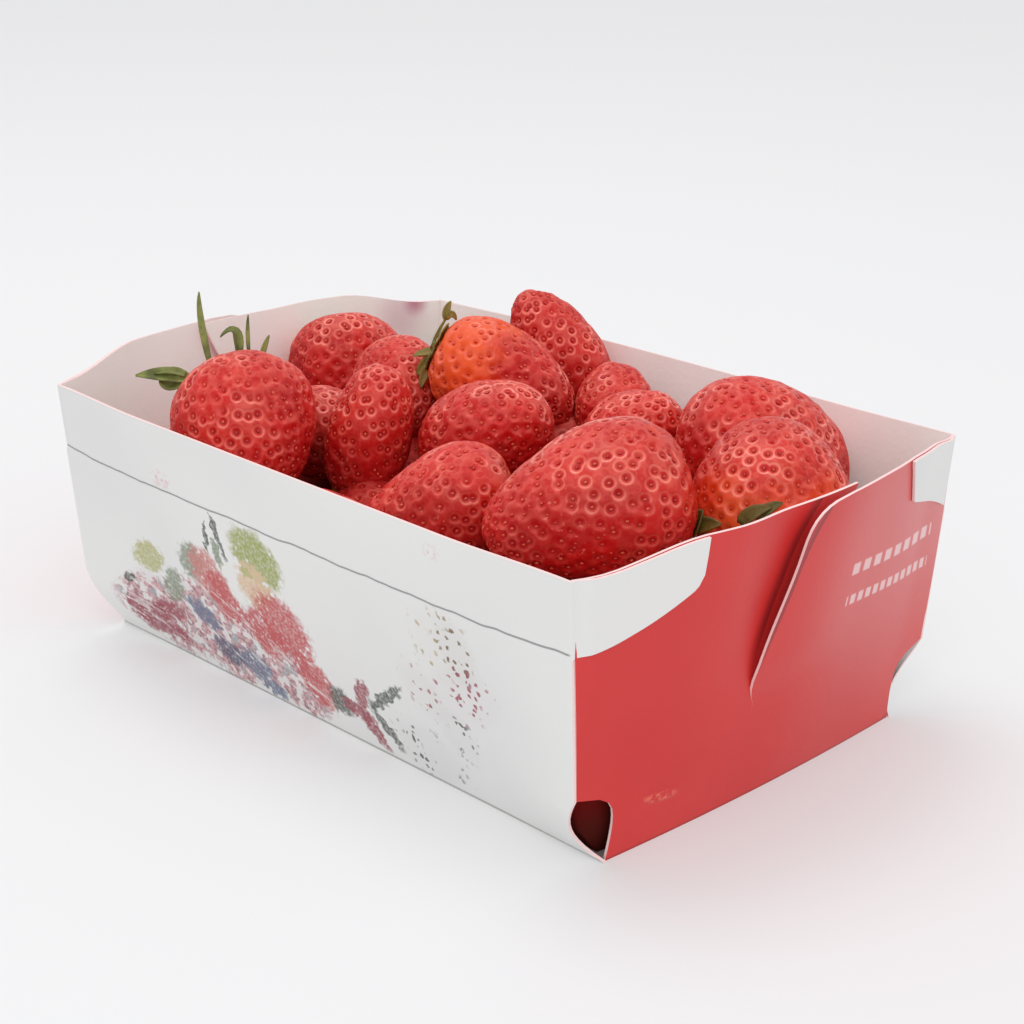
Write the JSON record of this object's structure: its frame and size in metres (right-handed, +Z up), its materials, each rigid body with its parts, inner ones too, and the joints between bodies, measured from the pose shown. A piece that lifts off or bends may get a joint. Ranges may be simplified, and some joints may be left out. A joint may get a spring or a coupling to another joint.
{
  "type": "punnet of strawberries",
  "caption": "Open paperboard tray with bulging lapped end walls and rolled-out sides, filled above the rim with a heap of whole strawberries.",
  "frame": {"origin": "middle of the underside of the whole punnet, on the surface it stands on", "axes": "+X along the tray's length towards the end wall with the coloured outside, +Y across its width towards the far long wall, +Z up"},
  "size_m": [0.1954, 0.1288, 0.086],
  "materials": {
    "board": "coated white paperboard with a satin print, red outside on both ends, bare inside",
    "berry_flesh": "glossy pitted strawberry skin with small yellow seeds",
    "green_cap": "dull leaf green"
  },
  "bodies": {
    "root": {"tray": "board", "berries": "berry_flesh"}
  },
  "joints": []
}
